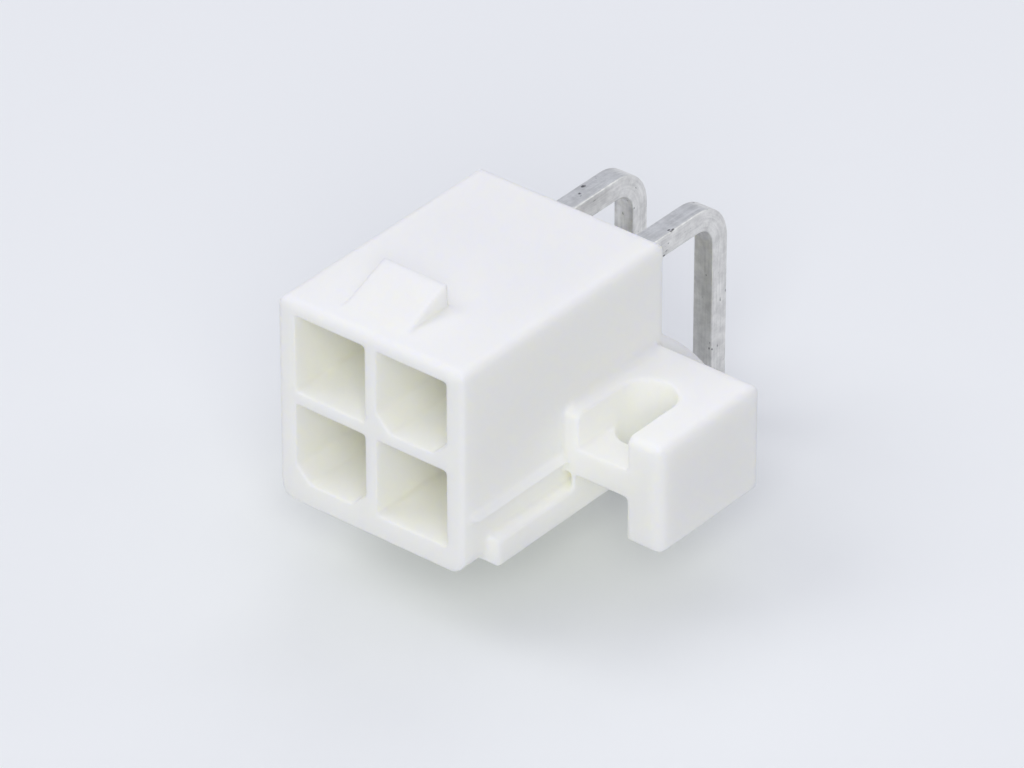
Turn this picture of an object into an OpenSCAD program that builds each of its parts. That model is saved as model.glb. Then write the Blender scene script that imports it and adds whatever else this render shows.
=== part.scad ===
// Right-angle board header: a moulded nylon shroud with two rows of two cells,
// a screw flange on each side, and four square pins bent down to the board.
// The board lies at z = 0. The origin is midway between the two screw holes,
// +X runs along a row of cells and +Y points from the mating face to the pins.

/* [Cells] */
// Distance between neighbouring contacts, along and between the rows
pitch = 4.2; // [4:0.05:4.5]
// Inside width and height of one cell
cell = 3.6; // [3.2:0.05:3.8]
// Depth of the cells behind the mating face
cell_depth = 10; // [8:0.1:11]
// Size of the cut across the two lower corners of a keyed cell
key_cut = 0.7; // [0.3:0.05:1]
// Height of the lower row's centre line above the board
row_height = 2.95; // [2.8:0.05:4]

/* [Housing] */
// Wall between a cell and the side of the housing
side_wall = 0.9; // [0.7:0.05:1.1]
// Wall above the upper row of cells
top_wall = 0.65; // [0.55:0.05:1.2]
// Depth of the housing from the mating face to the rear face
body_depth = 12.8; // [12.4:0.1:16]
// Radius on the top edges of the housing
edge_r = 0.4; // [0.1:0.05:0.5]
// Radius on the upright corners and on the lower edges of both ends
corner_r = 0.2; // [0.1:0.05:0.3]
// Radius along the foot of the side walls
foot_r = 0.9; // [0.4:0.05:1]

/* [Side ledges] */
// How far the ledge along each side wall stands out
ledge_out = 0.35; // [0.1:0.05:0.4]
// Height of the ledge's flat underside above the board
ledge_low = 2.5; // [2.3:0.05:2.6]
// Height at which the ledge's slope runs out into the side wall
ledge_top = 2.95; // [2.8:0.05:3.4]
// Distance from the mating face to the start of the ledges
ledge_setback = 0.3; // [0.3:0.05:1]
// Length of the slanted run-in at the front of a ledge
ledge_run = 0.35; // [0.2:0.05:1]

/* [Latch ramp] */
// Width of the ramp that the mating latch hooks over
ramp_w = 3.3; // [2:0.1:4.4]
// Length of the ramp's slope
ramp_length = 2.75; // [2:0.05:4]
// Height of the ramp's rear edge above the housing
ramp_h = 1.1; // [0.6:0.05:1.6]
// Distance from the mating face to the foot of the slope
ramp_setback = 0.85; // [0.4:0.05:2]
// Sideways shift of the ramp from the middle of the housing
ramp_shift = -0.55; // [-1:0.05:1]

/* [Flanges] */
// Distance between the two screw holes
hole_spacing = 13.7; // [13.4:0.1:15]
// Diameter of the screw hole, and width of the slots above and below its bridge
hole_d = 2.5; // [2.2:0.05:2.6]
// Distance from the mating face to the line of the screw holes
hole_back = 9.1; // [8.6:0.1:9.6]
// Width across both flanges, before the left one is shortened
flange_span = 19.7; // [18.4:0.1:21]
// How much shorter the left flange is than the right one
left_trim = 0.45; // [0:0.05:0.5]
// Height of the flanges above the board
flange_h = 4.95; // [4.4:0.05:6]
// Distance from the mating face to the front of the flanges
flange_setback = 6.25; // [5.5:0.05:7]
// Length of the flanges from front to rear
flange_length = 6.4; // [5.8:0.05:6.5]
// Radius of the flanges' upright corners at the front
flange_front_r = 0.5; // [0.2:0.05:0.6]
// Radius of the flanges' upright corners at the rear
flange_rear_r = 0.25; // [0.1:0.05:0.6]
// Radius of the flanges' top edges
flange_edge_r = 0.4; // [0.1:0.05:0.5]
// Radius of the flanges' lower edges
flange_foot_r = 0.1; // [0.05:0.05:0.4]
// Radius of the fillet where a flange's top meets the housing
flange_fillet_r = 0.4; // [0.2:0.05:0.8]
// Height of the upper slot's floor above the board
slot_floor = 3.3; // [3.1:0.05:3.8]
// Thickness of the bridge between the slots
bridge_t = 1.3; // [0.8:0.05:1.35]
// Thickness of the leg between the lower slot and the pocket next to the side wall
leg_t = 0.2; // [0.15:0.05:0.3]

/* [Side rails] */
// How far the rail along the foot of each side wall stands out
rail_out = 0.6; // [0.45:0.05:0.65]
// Height of the rails
rail_h = 1.3; // [1:0.05:1.5]
// Distance from the mating face to the front of the rails
rail_setback = 1.45; // [0.6:0.05:3]
// Radius of the rails' edges
rail_edge_r = 0.15; // [0.05:0.01:0.2]

/* [Rear wings] */
// Thickness of the wing behind each side wall
wing_t = 0.9; // [0.6:0.05:1.2]
// Height of the wings at the rear face
wing_h = 5.2; // [4:0.1:6.5]
// Reach of the wings behind the rear face
wing_reach = 4.3; // [3:0.1:5]
// Radius of the bowed edge of the wings
wing_bow_r = 15.6; // [8:0.1:30]

/* [Pins] */
// Width of the square pins
pin_w = 1; // [0.8:0.01:1.14]
// Distance from the mating face to the tips inside the cells
pin_recess = 3.5; // [2.8:0.1:5]
// Distance from the rear face to the lower pins' legs
leg_back = 1.05; // [1:0.05:1.6]
// Distance between the two rows of legs on the board
leg_row_gap = 5.5; // [5:0.1:7]
// Inner bend radius of the upper pins
upper_bend_r = 1; // [0.3:0.05:1.5]
// Inner bend radius of the lower pins
lower_bend_r = 0.45; // [0.2:0.05:0.5]
// Length of the tails below the board plane
tail_length = 3.5; // [2.5:0.1:5]
// Length of the taper at both ends of a pin
tip_length = 0.8; // [0.3:0.05:1.5]
// Width of a pin's end faces
tip_w = 0.5; // [0.3:0.05:0.7]

/* [Hidden] */
$fn = 64;
nylon = [0.93, 0.93, 0.92];
tinned = [0.63, 0.63, 0.62];

// Overlap that joins shapes of one moulding, and overshoot of cuts
lap = 0.3;
over = 1;

// Places along the depth, measured from the line of the screw holes
front = -hole_back;
rear = front + body_depth;
cell_end = front + cell_depth;
flange_front = front + flange_setback;
flange_rear = flange_front + flange_length;
rail_front = front + rail_setback;
ramp_front = front + ramp_setback;
ramp_rear = ramp_front + ramp_length;
lower_leg_y = rear + leg_back;
upper_leg_y = lower_leg_y + leg_row_gap;

// Widths and heights
body_half = pitch / 2 + cell / 2 + side_wall;
flange_half = flange_span / 2;
upper_row_height = row_height + pitch;
body_h = upper_row_height + cell / 2 + top_wall;
slot_x = hole_spacing / 2;
slot_inner_x = slot_x - hole_d / 2;
rail_x = body_half + rail_out;
bridge_bottom = slot_floor - bridge_t;

// Rounded rectangle from corner a to corner b, with its own radius for the low and the high corners
module rounded_rect(a, b, r_low, r_high) {
    polygon([
        [a.x + r_low, a.y],
        [b.x - r_low, a.y],
        [b.x, a.y + r_low],
        [b.x, b.y - r_high],
        [b.x - r_high, b.y],
        [a.x + r_high, b.y],
        [a.x, b.y - r_high],
        [a.x, a.y + r_low]
    ]);
    for (x = [a.x + r_low, b.x - r_low])
        translate([x, a.y + r_low]) circle(r_low);
    for (x = [a.x + r_high, b.x - r_high])
        translate([x, b.y - r_high]) circle(r_high);
}

// Outline in the (y, z) plane carried from x0 to x1
module along_x(x0, x1) {
    translate([x0, 0, 0]) rotate([90, 0, 90]) linear_extrude(x1 - x0) children();
}

// Outline in the (x, z) plane carried from y0 to y1
module along_y(y0, y1) {
    translate([0, y1, 0]) rotate([90, 0, 0]) linear_extrude(y1 - y0) children();
}

// Outline in the (x, y) plane carried from z0 to z1
module along_z(z0, z1) {
    translate([0, 0, z0]) linear_extrude(z1 - z0) children();
}

// Block from corner a to corner b: r_top on the top edges, r_foot on the lower edges along Y,
// r_end on the lower edges along X, r_front and r_rear on the upright ones
module rounded_block(a, b, r_top, r_foot, r_end, r_front, r_rear) {
    intersection() {
        along_x(a.x, b.x) rounded_rect([a.y, a.z], [b.y, b.z], r_end, r_top);
        along_y(a.y, b.y) rounded_rect([a.x, a.z], [b.x, b.z], r_foot, r_top);
        along_z(a.z, b.z) rounded_rect([a.x, a.y], [b.x, b.y], r_front, r_rear);
    }
}

module both_sides() {
    children();
    mirror([1, 0, 0]) children();
}

// Right-hand ledge: a slope with a flat underside, with a slanted run-in at its front
module ledge() {
    ledge_front = front + ledge_setback;
    ledge_rear = flange_front + lap;
    ledge_x = body_half + ledge_out;
    inner_x = body_half - lap;
    intersection() {
        along_y(ledge_front, ledge_rear)
            polygon([
                [inner_x, ledge_low],
                [ledge_x, ledge_low],
                [body_half, ledge_top],
                [inner_x, ledge_top]
            ]);
        along_z(ledge_low, ledge_top)
            polygon([
                [inner_x, ledge_front],
                [body_half, ledge_front],
                [ledge_x, ledge_front + ledge_run],
                [ledge_x, ledge_rear],
                [inner_x, ledge_rear]
            ]);
    }
}

// Slope that the mating latch rides up and hooks behind
module ramp() {
    along_x(ramp_shift - ramp_w / 2, ramp_shift + ramp_w / 2)
        polygon([
            [ramp_front, body_h - lap],
            [ramp_rear, body_h - lap],
            [ramp_rear, body_h + ramp_h],
            [ramp_front, body_h]
        ]);
}

// Opening of one cell: square, or with its two lower corners cut for keying
module cell_outline(keyed) {
    half = cell / 2;
    cut = keyed ? key_cut : 0;
    polygon([
        [-half, -half + cut],
        if (keyed) [-half + cut, -half],
        [half - cut, -half],
        if (keyed) [half, -half + cut],
        [half, half],
        [-half, half]
    ]);
}

// Cells from the front, and square holes in the rear wall that grip the pins
module cells() {
    for (column = [0, 1], row = [0, 1])
        translate([(column - 0.5) * pitch, 0, row_height + row * pitch]) {
            along_y(front - over, cell_end) cell_outline(keyed = column == row);
            along_y(cell_end - over, rear + over) square(pin_w, center = true);
        }
}

// Slot in plan: open to the front, with a round end about the screw hole
module slot_outline() {
    translate([slot_x, 0]) circle(d = hole_d);
    translate([slot_inner_x, flange_front - over]) square([hole_d, over - flange_front]);
}

// Right-hand screw flange: a block slotted above and below the bridge
module flange(outer) {
    difference() {
        union() {
            rounded_block([body_half - side_wall, flange_front, 0], [outer, flange_rear, flange_h],
                flange_edge_r, flange_foot_r, flange_foot_r, flange_front_r, flange_rear_r);
            flange_fillet();
        }
        along_z(slot_floor, flange_h + over) slot_outline();
        along_z(-over, bridge_bottom) slot_outline();
        under_bridge(0, rail_x - leg_t, bridge_bottom);
        under_bridge(rail_x, slot_x, bridge_bottom);
        under_bridge(0, slot_x, rail_h / 2);
        translate([slot_x, 0, 0]) cylinder(d = hole_d, h = flange_h);
    }
}

// Fillet between a flange's top and the side wall
module flange_fillet() {
    along_y(flange_front + flange_edge_r, flange_rear - flange_edge_r)
        difference() {
            translate([body_half - lap, flange_h - lap]) square(flange_fillet_r + lap);
            translate([body_half + flange_fillet_r, flange_h + flange_fillet_r])
                circle(flange_fillet_r);
        }
}

// Cut below the bridge, from x0 to x1 and up to the given height. Three such cuts leave a pocket
// next to the side wall, and a leg between pocket and slot that stands in the rail, flush with it.
module under_bridge(x0, x1, top) {
    translate([x0, flange_front - over, -over])
        cube([x1 - x0, over - flange_front, over + top]);
}

// Rail along the foot of the side wall, running back under the flange
module rail() {
    rounded_block([body_half - foot_r - lap, rail_front, 0],
        [rail_x, flange_rear - flange_rear_r, rail_h],
        rail_edge_r, rail_edge_r, rail_edge_r, rail_edge_r, rail_edge_r);
}

// Wing behind the side wall: a plate with a bowed edge from the rear face down to the board
module wing() {
    chord = norm([wing_reach, wing_h]);
    sink = sqrt(wing_bow_r * wing_bow_r - chord * chord / 4);
    middle = [wing_reach / 2, wing_h / 2];
    bow_centre = middle - sink * [wing_h, wing_reach] / chord;
    along_x(body_half - wing_t, body_half)
        translate([rear, 0])
            intersection() {
                translate([-lap, 0]) square([wing_reach + lap, wing_h]);
                union() {
                    translate([-lap, 0]) square([lap, wing_h]);
                    translate(bow_centre) circle(wing_bow_r, $fn = 192);
                }
            }
}

// The whole white moulding
module housing() {
    color(nylon) difference() {
        union() {
            rounded_block([-body_half, front, 0], [body_half, rear, body_h],
                edge_r, foot_r, corner_r, corner_r, corner_r);
            ramp();
            flange(flange_half);
            mirror([1, 0, 0]) flange(flange_half - left_trim);
            both_sides() {
                rail();
                ledge();
                wing();
            }
        }
        cells();
    }
}

// Long view of a bar of the given length, tapered at its far end
module bar_outline(length) {
    polygon([
        [-pin_w / 2, 0],
        [pin_w / 2, 0],
        [pin_w / 2, length - tip_length],
        [tip_w / 2, length],
        [-tip_w / 2, length],
        [-pin_w / 2, length - tip_length]
    ]);
}

// Square bar along +Z whose far end tapers on all four sides
module bar(length) {
    intersection() {
        along_y(-pin_w / 2, pin_w / 2) bar_outline(length);
        along_x(-pin_w / 2, pin_w / 2) bar_outline(length);
    }
}

// Quarter bend of the square bar, about an axis along X through the origin
module quarter_bend(inner_r) {
    outer_r = inner_r + pin_w;
    along_x(-pin_w / 2, pin_w / 2)
        intersection() {
            difference() {
                circle(outer_r);
                circle(inner_r);
            }
            square(outer_r);
        }
}

// One pin: a shank from its tip in the cell to the bend, and a leg down through the board
module pin(column, height, leg_y, bend_r) {
    bend_y = leg_y - pin_w / 2 - bend_r;
    bend_z = height - pin_w / 2 - bend_r;
    tip_y = front + pin_recess;
    color(tinned) translate([(column - 0.5) * pitch, 0, 0]) {
        translate([0, bend_y, height]) rotate([90, 0, 0]) bar(bend_y - tip_y);
        translate([0, bend_y, bend_z]) quarter_bend(bend_r);
        translate([0, leg_y, bend_z]) rotate([180, 0, 0]) bar(bend_z + tail_length);
    }
}

module pin_upper_left() {
    pin(0, upper_row_height, upper_leg_y, upper_bend_r);
}

module pin_upper_right() {
    pin(1, upper_row_height, upper_leg_y, upper_bend_r);
}

module pin_lower_left() {
    pin(0, row_height, lower_leg_y, lower_bend_r);
}

module pin_lower_right() {
    pin(1, row_height, lower_leg_y, lower_bend_r);
}

housing();
pin_upper_left();
pin_upper_right();
pin_lower_left();
pin_lower_right();
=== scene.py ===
# %% [markdown]
# # A right-angle board header
#
# The object is a small white connector for a circuit board, about 19 mm wide. One nylon
# moulding holds four square pins. A cable plug slides into the cells at the front, and the
# pins turn down at the rear to be soldered into the board.
#
# The solids come from the CAD model, in metres, with the board at z = 0, +X along a row of
# cells and +Y from the mating face towards the pins' legs. This script only adds the looks:
# softened edges, real finishes, light and a camera.

import math

import bmesh
import bpy
from mathutils import Matrix, Vector


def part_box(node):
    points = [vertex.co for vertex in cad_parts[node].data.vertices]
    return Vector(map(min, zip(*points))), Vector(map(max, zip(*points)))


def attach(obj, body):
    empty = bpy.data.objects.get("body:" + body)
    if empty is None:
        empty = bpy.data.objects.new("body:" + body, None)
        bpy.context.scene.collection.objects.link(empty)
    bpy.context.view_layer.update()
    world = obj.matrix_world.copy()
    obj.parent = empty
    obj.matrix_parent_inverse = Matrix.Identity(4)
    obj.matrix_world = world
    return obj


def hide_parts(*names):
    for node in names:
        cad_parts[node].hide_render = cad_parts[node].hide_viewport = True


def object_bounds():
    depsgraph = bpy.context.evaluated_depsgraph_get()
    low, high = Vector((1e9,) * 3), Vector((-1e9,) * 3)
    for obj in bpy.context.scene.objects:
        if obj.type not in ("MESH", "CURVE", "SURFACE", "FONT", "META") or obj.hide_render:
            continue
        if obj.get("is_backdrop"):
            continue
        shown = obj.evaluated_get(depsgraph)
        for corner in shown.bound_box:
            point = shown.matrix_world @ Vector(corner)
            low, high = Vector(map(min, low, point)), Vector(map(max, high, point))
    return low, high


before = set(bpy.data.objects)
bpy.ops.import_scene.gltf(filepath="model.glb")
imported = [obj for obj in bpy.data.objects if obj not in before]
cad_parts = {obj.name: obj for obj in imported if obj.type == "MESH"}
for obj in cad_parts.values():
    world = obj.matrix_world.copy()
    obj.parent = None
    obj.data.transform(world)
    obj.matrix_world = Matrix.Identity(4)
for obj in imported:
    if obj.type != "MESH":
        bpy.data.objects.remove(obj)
scene = bpy.context.scene
cad_low, cad_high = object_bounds()
MM = 0.001
BODY = "root"
print("CAD box in mm", [round(s / MM, 2) for s in cad_high - cad_low])

# %% [markdown]
# ## Helpers for colours and nodes
#
# Colours are written as sRGB hex values, as a paint program shows them. Shaders work on
# linear light, so one function turns the one into the other.
#
# Node trees are long lists of nodes and links. A helper that adds one node, with its settings
# and with what feeds its sockets, keeps each tree readable from top to bottom. A socket goes by
# its name, or by its number where a node has several of that name: a Mix node, for one, has an
# A and a B for every kind of value.

# %% Colour and node helpers
# Colour sockets of a Mix node
MIX_A, MIX_B, MIX_RESULT = 6, 7, 2
# Nearly all values of a noise texture lie between these two
NOISE_LOW, NOISE_HIGH = 0.3, 0.7


def linear(hex_colour):
    """Linear RGBA of an sRGB hex colour."""
    shares = [int(hex_colour[i:i + 2], 16) / 255 for i in (1, 3, 5)]
    return [s / 12.92 if s <= 0.04045 else ((s + 0.055) / 1.055) ** 2.4 for s in shares] + [1.0]


def add(tree, kind, sockets=None, **settings):
    """Adds a node. A socket takes a plain value, or the output of another node."""
    node = tree.nodes.new(kind)
    for name, value in settings.items():
        setattr(node, name, value)
    for key, value in (sockets or {}).items():
        if isinstance(value, bpy.types.NodeSocket):
            tree.links.new(value, node.inputs[key])
        else:
            node.inputs[key].default_value = value
    return node


def per_metre(size_mm):
    """Scale of a noise texture, on coordinates in metres, whose grains have this size."""
    return 1 / (size_mm * MM)


def new_material(name):
    """A material with an empty node tree, and that tree."""
    material = bpy.data.materials.new(name)
    material.use_nodes = True
    material.node_tree.nodes.clear()
    return material, material.node_tree


print("white is", linear("#ffffff"))

# %% [markdown]
# ## The nylon
#
# The housing is natural nylon 66, moulded in a steel mould with a fine spark-eroded finish.
# To the eye that is a matt, slightly warm white. A little light goes in and comes out again
# nearby, which softens the edges and warms the inside of the cells.
#
# The colour varies by a hair in soft clouds of a few millimetres, as in any moulding that
# cools unevenly, and the faces have a faint ripple. The eroded grain is a fine bump. Its real
# size, about 0.03 mm, is too small for the picture, so it is drawn at 0.11 mm.

# %% Moulded nylon
WHITE, PALER_WHITE = "#fcfcf5", "#fefef8"
NYLON_IOR = 1.53
NYLON_ROUGHNESS = (0.6, 0.74)
SCATTER_MM = 0.75
SCATTER_RGB = (1.0, 0.96, 0.7)
CLOUD_MM = 3.2
RIPPLE_MM, RIPPLE_HEIGHT_MM = 1.4, 0.008
GRAIN_MM, GRAIN_HEIGHT_MM = 0.11, 0.004

nylon, tree = new_material("moulded_nylon")
place = add(tree, "ShaderNodeTexCoord").outputs["Object"]
clouds = add(tree, "ShaderNodeTexNoise", {
    "Vector": place, "Scale": per_metre(CLOUD_MM), "Detail": 3.0, "Roughness": 0.55})
ripple = add(tree, "ShaderNodeTexNoise", {
    "Vector": place, "Scale": per_metre(RIPPLE_MM), "Detail": 2.0})
grain = add(tree, "ShaderNodeTexNoise", {
    "Vector": place, "Scale": per_metre(GRAIN_MM), "Detail": 2.0, "Roughness": 0.6})
tint = add(tree, "ShaderNodeMix", {
    "Factor": clouds.outputs["Fac"], MIX_A: linear(WHITE), MIX_B: linear(PALER_WHITE)},
    data_type="RGBA")
sheen = add(tree, "ShaderNodeMapRange", {
    "Value": grain.outputs["Fac"], "From Min": NOISE_LOW, "From Max": NOISE_HIGH,
    "To Min": NYLON_ROUGHNESS[0], "To Max": NYLON_ROUGHNESS[1]})
waves = add(tree, "ShaderNodeBump", {
    "Height": ripple.outputs["Fac"], "Strength": 1.0, "Distance": RIPPLE_HEIGHT_MM * MM})
skin = add(tree, "ShaderNodeBump", {
    "Height": grain.outputs["Fac"], "Strength": 1.0, "Distance": GRAIN_HEIGHT_MM * MM,
    "Normal": waves.outputs["Normal"]})
shader = add(tree, "ShaderNodeBsdfPrincipled", {
    "Base Color": tint.outputs[MIX_RESULT], "Roughness": sheen.outputs["Result"],
    "IOR": NYLON_IOR, "Subsurface Weight": 1.0, "Subsurface Radius": SCATTER_RGB,
    "Subsurface Scale": SCATTER_MM * MM, "Normal": skin.outputs["Normal"]})
add(tree, "ShaderNodeOutputMaterial", {"Surface": shader.outputs["BSDF"]})
print("nylon with", len(tree.nodes), "nodes")

# %% [markdown]
# ## Patterns of the tin
#
# The pins are brass wire, drawn square and plated with matt tin. Drawing leaves fine lines
# along the wire, and tin is soft, so handling leaves dull clouds and a few small dark pits.
#
# The lines have to follow the wire round its bend. Object coordinates would not, so the pins
# carry an attribute, the place of each point as if the wire were still straight, and the
# patterns read that: x and y across the wire, z along it, in metres. The column and the height
# of the wire are added to x and y, so that no two pins look alike.

# %% Lines, clouds and pits
STREAK_MM = (0.1, 0.1, 1.5)
DULL_MM = 0.55
PIT_MM = (0.24, 0.24, 0.4)

tin, tree = new_material("matt_tin_plate")
straight = add(tree, "ShaderNodeAttribute", attribute_name="straight_wire").outputs["Vector"]
drawn = add(tree, "ShaderNodeMapping", {
    "Vector": straight, "Scale": [per_metre(s) for s in STREAK_MM]})
streaks = add(tree, "ShaderNodeTexNoise", {
    "Vector": drawn.outputs["Vector"], "Scale": 1.0, "Detail": 3.0})
dull = add(tree, "ShaderNodeTexNoise", {
    "Vector": straight, "Scale": per_metre(DULL_MM), "Detail": 4.0, "Roughness": 0.65})
stretched = add(tree, "ShaderNodeMapping", {
    "Vector": straight, "Scale": [per_metre(s) for s in PIT_MM]})
pits = add(tree, "ShaderNodeTexNoise", {
    "Vector": stretched.outputs["Vector"], "Scale": 1.0, "Detail": 1.0})
print("patterns with", len(tree.nodes), "nodes")

# %% [markdown]
# ## The tin itself
#
# Matt tin is a pale grey metal with broad, soft highlights. Lines and clouds together decide
# how dull a place is, and the highest values of the third pattern become pits. The lines are
# also a slight bump, so that they show in the highlights.

# %% Matt tin plate
BRIGHT_TIN, DULL_TIN, DARK_PIT = "#ebeae7", "#cdccca", "#6a696a"
TIN_ROUGHNESS = (0.3, 0.44)
STREAK_SHARE = 0.6
DULL_LEVELS = (0.6, 1.0)
PIT_LEVELS = (0.715, 0.78)
STREAK_HEIGHT_MM = 0.002

uneven = add(tree, "ShaderNodeMath", {
    0: streaks.outputs["Fac"], 1: STREAK_SHARE, 2: dull.outputs["Fac"]}, operation="MULTIPLY_ADD")
dullness = add(tree, "ShaderNodeMapRange", {
    "Value": uneven.outputs[0], "From Min": DULL_LEVELS[0], "From Max": DULL_LEVELS[1]})
clean = add(tree, "ShaderNodeMix", {
    "Factor": dullness.outputs["Result"], MIX_A: linear(BRIGHT_TIN), MIX_B: linear(DULL_TIN)},
    data_type="RGBA")
pitted = add(tree, "ShaderNodeMapRange", {
    "Value": pits.outputs["Fac"], "From Min": PIT_LEVELS[0], "From Max": PIT_LEVELS[1]})
colour = add(tree, "ShaderNodeMix", {
    "Factor": pitted.outputs["Result"], MIX_A: clean.outputs[MIX_RESULT], MIX_B: linear(DARK_PIT)},
    data_type="RGBA")
polish = add(tree, "ShaderNodeMapRange", {
    "Value": dull.outputs["Fac"], "From Min": NOISE_LOW, "From Max": NOISE_HIGH,
    "To Min": TIN_ROUGHNESS[0], "To Max": TIN_ROUGHNESS[1]})
lines = add(tree, "ShaderNodeBump", {
    "Height": streaks.outputs["Fac"], "Strength": 1.0, "Distance": STREAK_HEIGHT_MM * MM})
shader = add(tree, "ShaderNodeBsdfPrincipled", {
    "Base Color": colour.outputs[MIX_RESULT], "Metallic": 1.0,
    "Roughness": polish.outputs["Result"], "Normal": lines.outputs["Normal"]})
add(tree, "ShaderNodeOutputMaterial", {"Surface": shader.outputs["BSDF"]})
print("tin with", len(tree.nodes), "nodes")

# %% [markdown]
# ## From modifiers to plain meshes
#
# Modifiers and Geometry Nodes only change what Blender shows of an object. A finished piece is
# a plain mesh, so each shape is made on a passing object, and what that object shows is kept.

# %% Mesh helpers
def put_in_scene(name, mesh):
    """A new object in the scene that shows this mesh."""
    thing = bpy.data.objects.new(name, mesh)
    scene.collection.objects.link(thing)
    return thing


def keep_shown(maker, name):
    """What the object shows, as a plain mesh with smooth faces. The object goes."""
    graph = bpy.context.evaluated_depsgraph_get()
    mesh = bpy.data.meshes.new_from_object(maker.evaluated_get(graph))
    bpy.data.objects.remove(maker)
    mesh.name = name
    for face in mesh.polygons:
        face.use_smooth = True
    return mesh


print("solids to dress:", sorted(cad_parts))

# %% [markdown]
# ## The housing
#
# The CAD solid has the moulding's form and its larger radii. What it lacks is the soft radius
# that every edge of a moulding has, at the mouths of the cells, on the ramp and round the
# slots. Bevelling would have to find each edge, and some of them cross curved faces.
#
# A simpler way treats all edges alike. A copy of the solid is rebuilt as a fine even grid of
# faces, and smoothing that grid rounds whatever is sharp while flat faces stay flat. Then the
# flat areas, which need few faces, are thinned out again.

# %% Softened housing
MERGE_DISTANCE = 0.0005 * MM
VOXEL = 0.07 * MM
SMOOTH_FACTOR = 0.5
SMOOTH_ROUNDS = 8
KEPT_SHARE = 0.24

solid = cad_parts["housing"].data.copy()
bm = bmesh.new()
bm.from_mesh(solid)
bmesh.ops.remove_doubles(bm, verts=bm.verts, dist=MERGE_DISTANCE)
bm.to_mesh(solid)
bm.free()
maker = put_in_scene("maker", solid)
grid = maker.modifiers.new("even_grid", "REMESH")
grid.mode = "VOXEL"
grid.voxel_size = VOXEL
rounder = maker.modifiers.new("round_edges", "SMOOTH")
rounder.factor = SMOOTH_FACTOR
rounder.iterations = SMOOTH_ROUNDS
thinner = maker.modifiers.new("thin_flats", "DECIMATE")
thinner.ratio = KEPT_SHARE
housing_mesh = keep_shown(maker, "soft_housing")
housing_mesh.materials.clear()
housing_mesh.materials.append(nylon)
housing = put_in_scene("soft_housing", housing_mesh)
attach(housing, BODY)
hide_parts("housing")
print("housing with", len(housing_mesh.polygons), "faces")

# %% [markdown]
# ## The path of a bent pin
#
# Each pin is a square wire that follows a path: along its cell, round a bend and down through
# the board. Geometry Nodes sweep a square along that path, and one tree with named sizes makes
# all four pins.
#
# Five points make the path: the tip, the end of its taper, the corner, the start of the tail's
# taper and the tail's end. A fillet rounds the corner, and the wire's scale at the two ends
# makes the tapers.

# %% Path of a pin
SIZES = ("Column", "Tip place", "Height", "Leg place", "Tail end", "Width", "Bend radius",
         "Edge radius", "Tip length", "Tip share")
CORNER = 2
BEND_STEPS = 14
# Whole-number sockets of a Compare node
COMPARE_A, COMPARE_B = 2, 3

pin_tree = bpy.data.node_groups.new("bent_square_pin", "GeometryNodeTree")
sockets = {}
for size in SIZES:
    entry = pin_tree.interface.new_socket(size, in_out="INPUT", socket_type="NodeSocketFloat")
    sockets[size] = entry.identifier
pin_tree.interface.new_socket("Pin", in_out="OUTPUT", socket_type="NodeSocketGeometry")
given = add(pin_tree, "NodeGroupInput").outputs
taper_start = add(pin_tree, "ShaderNodeMath", {
    0: given["Tip place"], 1: given["Tip length"]}, operation="ADD")
taper_end = add(pin_tree, "ShaderNodeMath", {
    0: given["Tail end"], 1: given["Tip length"]}, operation="ADD")
stations = [
    (given["Tip place"], given["Height"]),
    (taper_start.outputs[0], given["Height"]),
    (given["Leg place"], given["Height"]),
    (given["Leg place"], taper_end.outputs[0]),
    (given["Leg place"], given["Tail end"]),
]
index = add(pin_tree, "GeometryNodeInputIndex").outputs[0]
route = add(pin_tree, "GeometryNodeIndexSwitch", {"Index": index}, data_type="VECTOR")
scales = add(pin_tree, "GeometryNodeIndexSwitch", {"Index": index}, data_type="FLOAT")
for switch in (route, scales):
    while len(switch.index_switch_items) < len(stations):
        switch.index_switch_items.new()
for i, (y, z) in enumerate(stations):
    point = add(pin_tree, "ShaderNodeCombineXYZ", {"X": given["Column"], "Y": y, "Z": z})
    pin_tree.links.new(point.outputs[0], route.inputs[i + 1])
    scales.inputs[i + 1].default_value = 1.0
for i in (1, len(stations)):
    pin_tree.links.new(given["Tip share"], scales.inputs[i])
line = add(pin_tree, "GeometryNodeMeshLine", {"Count": len(stations)})
rough_path = add(pin_tree, "GeometryNodeMeshToCurve", {"Mesh": line.outputs[0]})
placed = add(pin_tree, "GeometryNodeSetPosition", {
    "Geometry": rough_path.outputs[0], "Position": route.outputs[0]})
scaled = add(pin_tree, "GeometryNodeSetCurveRadius", {
    "Curve": placed.outputs[0], "Radius": scales.outputs[0]})
at_corner = add(pin_tree, "FunctionNodeCompare", {COMPARE_A: index, COMPARE_B: CORNER},
                data_type="INT", operation="EQUAL")
turn = add(pin_tree, "ShaderNodeMath", {
    0: at_corner.outputs[0], 1: given["Bend radius"]}, operation="MULTIPLY")
path = add(pin_tree, "GeometryNodeFilletCurve", {
    "Curve": scaled.outputs[0], "Count": BEND_STEPS, "Radius": turn.outputs[0]}, mode="POLY")
print("path of", len(stations), "points")

# %% [markdown]
# ## The wire along its path
#
# Drawn wire has slightly rounded edges, and they catch the light, so the section is a square
# with small fillets. Two values are noted before the sweep: how far along the path a point
# lies, and where in the section. Together they give the place in the straight wire that the
# tin's patterns read.

# %% Sweep of a pin
EDGE_STEPS = 4

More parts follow.
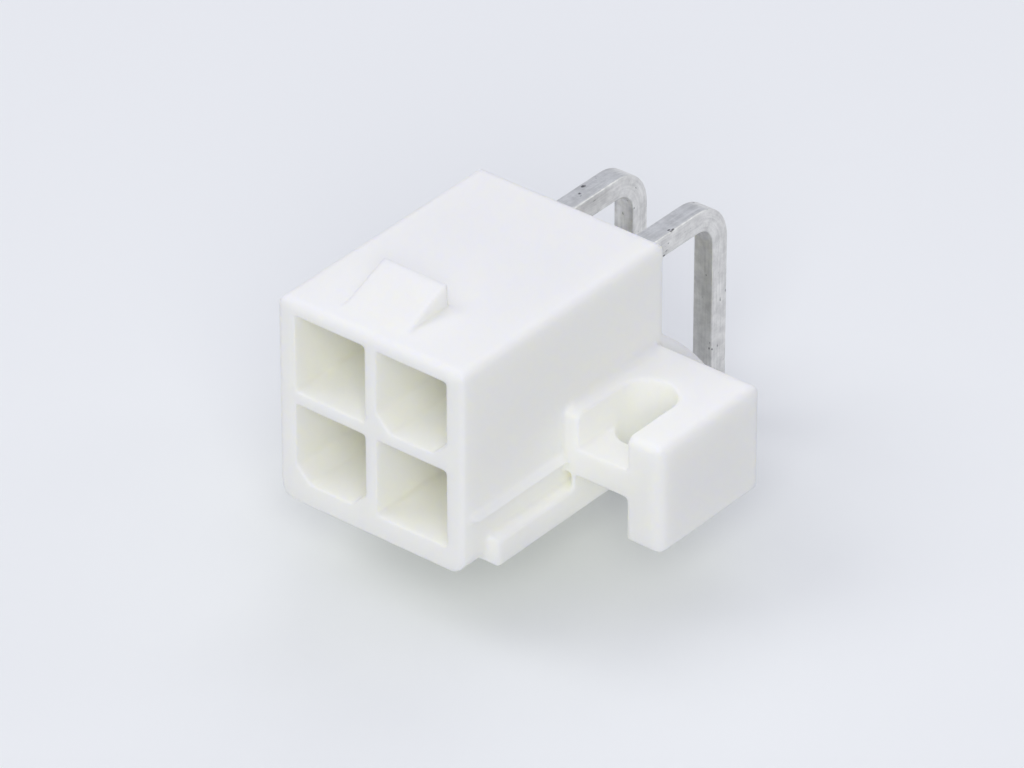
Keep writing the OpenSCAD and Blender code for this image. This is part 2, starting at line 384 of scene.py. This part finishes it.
square = add(pin_tree, "GeometryNodeCurvePrimitiveQuadrilateral", {
    "Width": given["Width"], "Height": given["Width"]}, mode="RECTANGLE")
profile = add(pin_tree, "GeometryNodeFilletCurve", {
    "Curve": square.outputs[0], "Count": EDGE_STEPS, "Radius": given["Edge radius"]}, mode="POLY")
along = add(pin_tree, "GeometryNodeCaptureAttribute", {"Geometry": path.outputs[0]})
along.capture_items.new("FLOAT", "Length")
spot = add(pin_tree, "GeometryNodeSplineParameter")
pin_tree.links.new(spot.outputs["Length"], along.inputs[1])
across = add(pin_tree, "GeometryNodeCaptureAttribute", {"Geometry": profile.outputs[0]})
across.capture_items.new("VECTOR", "Across")
where = add(pin_tree, "GeometryNodeInputPosition")
pin_tree.links.new(where.outputs[0], across.inputs[1])
radius = add(pin_tree, "GeometryNodeInputRadius")
swept = add(pin_tree, "GeometryNodeCurveToMesh", {
    "Curve": along.outputs[0], "Profile Curve": across.outputs[0],
    "Scale": radius.outputs[0], "Fill Caps": True})
flat = add(pin_tree, "ShaderNodeSeparateXYZ", {0: across.outputs[1]})
own_x = add(pin_tree, "ShaderNodeMath", {0: flat.outputs["X"], 1: given["Column"]}, operation="ADD")
own_y = add(pin_tree, "ShaderNodeMath", {0: flat.outputs["Y"], 1: given["Height"]}, operation="ADD")
straight = add(pin_tree, "ShaderNodeCombineXYZ", {
    "X": own_x.outputs[0], "Y": own_y.outputs[0], "Z": along.outputs[1]})
kept = add(pin_tree, "GeometryNodeStoreNamedAttribute", {
    "Geometry": swept.outputs[0], "Name": "straight_wire", "Value": straight.outputs[0]},
    data_type="FLOAT_VECTOR", domain="POINT")
real = add(pin_tree, "GeometryNodeRealizeInstances", {0: kept.outputs[0]})
plated = add(pin_tree, "GeometryNodeSetMaterial", {0: real.outputs[0], "Material": tin})
add(pin_tree, "NodeGroupOutput", {0: plated.outputs[0]})
print("pin tree with", len(pin_tree.nodes), "nodes")

# %% [markdown]
# ## The four pins
#
# The tree runs once for each pin. A pin's CAD box gives its column, height, reach and depth,
# so the swept wire lies where the solid is. The bend radius of a row is the solid's inner
# radius and half the wire, because the path is the wire's centre line.

# %% Four pins
INNER_BEND = {"upper": 1.0 * MM, "lower": 0.45 * MM}
TIP_LENGTH = 0.8 * MM
TIP_WIDTH = 0.5 * MM
WIRE_EDGE_R = 0.08 * MM
SHARP_ANGLE = math.radians(40)

for row, inner_radius in INNER_BEND.items():
    for side in ("left", "right"):
        node = f"pin_{row}_{side}"
        low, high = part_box(node)
        width = high.x - low.x
        sizes = {
            "Column": (low.x + high.x) / 2,
            "Tip place": low.y,
            "Height": high.z - width / 2,
            "Leg place": high.y - width / 2,
            "Tail end": low.z,
            "Width": width,
            "Bend radius": inner_radius + width / 2,
            "Edge radius": WIRE_EDGE_R,
            "Tip length": TIP_LENGTH,
            "Tip share": TIP_WIDTH / width,
        }
        maker = put_in_scene("maker", bpy.data.meshes.new("maker"))
        modifier = maker.modifiers.new("pin", "NODES")
        modifier.node_group = pin_tree
        for name, value in sizes.items():
            modifier[sockets[name]] = value
        wire = f"wire_{row}_{side}"
        mesh = keep_shown(maker, wire)
        mesh.set_sharp_from_angle(angle=SHARP_ANGLE)
        pin = put_in_scene(wire, mesh)
        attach(pin, BODY)
        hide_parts(node)
        print(node, "has", len(mesh.polygons), "faces", [m.name for m in mesh.materials])

# %% [markdown]
# ## The table top
#
# The header stands on the tips of its tails, so the table top lies at the CAD model's lowest
# point. A plain disc, much wider than the picture, is enough.

# %% Table top
TABLE_R = 400 * MM
TABLE_SIDES = 96

floor_mesh = bpy.data.meshes.new("table_top")
bm = bmesh.new()
bmesh.ops.create_circle(bm, cap_ends=True, radius=TABLE_R, segments=TABLE_SIDES)
bmesh.ops.translate(bm, vec=(0, 0, cad_low.z), verts=bm.verts)
bm.to_mesh(floor_mesh)
bm.free()
floor = put_in_scene("table_top", floor_mesh)
print("table at z =", round(cad_low.z / MM, 2), "mm")

# %% [markdown]
# ## The laminate
#
# The table is a matt white laminate. Seen from below it is clear, so that it never hides the
# part. The Light Path node tells which rays ask for its colour: the camera, metal and glass see
# it a little paler than the light that it throws back on the part would make it.

# %% Matt white laminate
BOUNCE_TONE, SHOWN_TONE = "#e2e4e3", "#f4f6f8"


def seen_directly(tree):
    """One for rays from the camera, off metal and through glass, and zero for all others."""
    rays = add(tree, "ShaderNodeLightPath").outputs
    mirrored = add(tree, "ShaderNodeMath", {
        0: rays["Is Camera Ray"], 1: rays["Is Glossy Ray"]}, operation="MAXIMUM")
    return add(tree, "ShaderNodeMath", {
        0: mirrored.outputs[0], 1: rays["Is Transmission Ray"]}, operation="MAXIMUM").outputs[0]


laminate, tree = new_material("matt_white_laminate")
tone = add(tree, "ShaderNodeMix", {
    "Factor": seen_directly(tree), MIX_A: linear(BOUNCE_TONE), MIX_B: linear(SHOWN_TONE)},
    data_type="RGBA")
matt = add(tree, "ShaderNodeBsdfDiffuse", {"Color": tone.outputs[MIX_RESULT]})
clear = add(tree, "ShaderNodeBsdfTransparent")
from_below = add(tree, "ShaderNodeNewGeometry").outputs["Backfacing"]
one_sided = add(tree, "ShaderNodeMixShader", {
    0: from_below, 1: matt.outputs[0], 2: clear.outputs[0]})
add(tree, "ShaderNodeOutputMaterial", {"Surface": one_sided.outputs[0]})
floor_mesh.materials.append(laminate)
floor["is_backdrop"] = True
print("laminate with", len(tree.nodes), "nodes")

# %% [markdown]
# ## The dome
#
# The light is that of a small photo tent: a cool dome that is brightest overhead, with lamps
# outside. The camera sees a plain pale tone where it looks past the table, and so does metal.
#
# The cells are deep and white, so light comes out of them only after many bounces. Blender
# follows four by default, which would leave them too dark, so the scene asks for more.

# %% Dome of the tent
HORIZON = 0.09
ZENITH = 0.78
DOME_TONE, BACKDROP_TONE = "#eff0fe", "#e8ebf0"
BOUNCES = 32

scene.view_settings.view_transform = "Standard"
world = bpy.data.worlds.new("photo_tent")
world.use_nodes = True
tree = world.node_tree
tree.nodes.clear()
toward = add(tree, "ShaderNodeTexCoord").outputs["Generated"]
height = add(tree, "ShaderNodeSeparateXYZ", {0: toward}).outputs["Z"]
fall = add(tree, "ShaderNodeMapRange", {"Value": height, "To Min": HORIZON, "To Max": ZENITH})
dome = add(tree, "ShaderNodeBackground", {
    "Color": linear(DOME_TONE), "Strength": fall.outputs["Result"]})
pale = add(tree, "ShaderNodeBackground", {"Color": linear(BACKDROP_TONE), "Strength": 1.0})
both = add(tree, "ShaderNodeMixShader", {
    0: seen_directly(tree), 1: dome.outputs[0], 2: pale.outputs[0]})
add(tree, "ShaderNodeOutputWorld", {"Surface": both.outputs[0]})
scene.world = world
scene.cycles.diffuse_bounces = BOUNCES
scene.cycles.max_bounces = BOUNCES
print("dome strength from", HORIZON, "to", ZENITH, "overhead")

# %% [markdown]
# ## The lamps
#
# Three large lamps stand about a metre away, so that no hard shadow shows. One is to the left,
# one behind the camera, where it shines into the cells, and one behind the header, where it
# lifts the top. A small fourth lamp draws a bright line along the edges of the pins.

# %% Lamps
LAMP_TONE = "#fffff9"
# Name, power in watts, width and place. Each lamp faces the origin.
LAMPS = (
    ("left_lamp", 2.06, 650 * MM, Vector((-0.55, -0.4, 0.85))),
    ("camera_lamp", 3.69, 600 * MM, Vector((0.523, -0.645, 0.541))),
    ("rear_lamp", 1.12, 700 * MM, Vector((-0.3, 0.6, 0.75))),
    ("edge_lamp", 0.05, 110 * MM, Vector((0.22, 0.26, 0.21))),
)

for name, watts, size, place in LAMPS:
    lamp_data = bpy.data.lights.new(name, "AREA")
    lamp_data.shape = "DISK"
    lamp_data.size = size
    lamp_data.energy = watts
    lamp_data.color = linear(LAMP_TONE)[:3]
    lamp = bpy.data.objects.new(name, lamp_data)
    lamp.location = place
    lamp.rotation_mode = "QUATERNION"
    lamp.rotation_quaternion = (-place).to_track_quat("-Z", "Y")
    scene.collection.objects.link(lamp)
    print(name, "at", [round(c / MM) for c in place], "mm")

# %% [markdown]
# ## A grey card for the pins
# ## A glowing grey card: a painted reflection for the pins
# Metal looks like what it mirrors. The pins' top faces mirror the tent behind the header, and
# the photograph shows that it is darker there than the table. A grey card hangs in that
# direction. Only reflections see it, so that it takes no light from the part.

# %% Grey card
# The card glows this fixed grey and only reflections see it: a painted reflection of the darker
# tent on the pins.
PAINTED_REFLECTION_TONE = "#c8ccd8"
CARD_R = 220 * MM
CARD_SIDES = 64
CARD_PLACE = Vector((-0.221, 0.273, 0.229))

card_mesh = bpy.data.meshes.new("grey_card")
bm = bmesh.new()
bmesh.ops.create_circle(bm, cap_ends=True, radius=CARD_R, segments=CARD_SIDES)
turned = (-CARD_PLACE).to_track_quat("Z", "Y").to_matrix().to_4x4()
bmesh.ops.transform(bm, matrix=Matrix.Translation(CARD_PLACE) @ turned, verts=bm.verts)
bm.to_mesh(card_mesh)
bm.free()
card = put_in_scene("grey_card", card_mesh)
# Emission of a fixed grey, though the card is no lamp: this paints the reflection in the pins' top
# faces.
reflection_glow, tree = new_material("painted_reflection_glow")
glow = add(tree, "ShaderNodeEmission", {"Color": linear(PAINTED_REFLECTION_TONE), "Strength": 1.0})
add(tree, "ShaderNodeOutputMaterial", {"Surface": glow.outputs[0]})
card_mesh.materials.append(reflection_glow)
for ray in ("camera", "diffuse", "transmission", "shadow"):
    setattr(card, f"visible_{ray}", False)
card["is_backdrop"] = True
print("card at", [round(c / MM) for c in CARD_PLACE], "mm")

# %% [markdown]
# ## Camera
#
# The photograph looks at the mating face from the right and from above, through a long lens.
# The angles and the distance were fitted to its edges. The long lens keeps parallel edges
# nearly parallel.

# %% Camera
AZIMUTH = math.radians(39.03)
ELEVATION = math.radians(33.10)
DISTANCE = 338.4 * MM
LENS = 295.3
CLIP_NEAR, CLIP_FAR = 10 * MM, 5000 * MM
AIM = Vector((0.0, -0.0031, 0.005))
IMAGE_WIDTH_PX = 1024
AIM_OFFSET_PX = Vector((-46.2, 15.0))

back = Vector((math.sin(AZIMUTH) * math.cos(ELEVATION),
               -math.cos(AZIMUTH) * math.cos(ELEVATION),
               math.sin(ELEVATION)))
camera_data = bpy.data.cameras.new("long_lens")
camera_data.lens = LENS
camera_data.clip_start = CLIP_NEAR
camera_data.clip_end = CLIP_FAR
camera = bpy.data.objects.new("long_lens", camera_data)
camera.rotation_mode = "QUATERNION"
camera.rotation_quaternion = (-back).to_track_quat("-Z", "Y")
right = camera.rotation_quaternion @ Vector((1, 0, 0))
up = camera.rotation_quaternion @ Vector((0, 1, 0))
pixel = DISTANCE * camera_data.sensor_width / LENS / IMAGE_WIDTH_PX
off_centre = (right * AIM_OFFSET_PX.x + up * AIM_OFFSET_PX.y) * pixel
camera.location = AIM + back * DISTANCE - off_centre
scene.collection.objects.link(camera)
scene.camera = camera
print("one pixel is", round(pixel / MM, 4), "mm at the aim")

# %% Print the sizes and finish
low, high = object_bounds()
print("dressed box in mm", [round(s / MM, 2) for s in high - low])
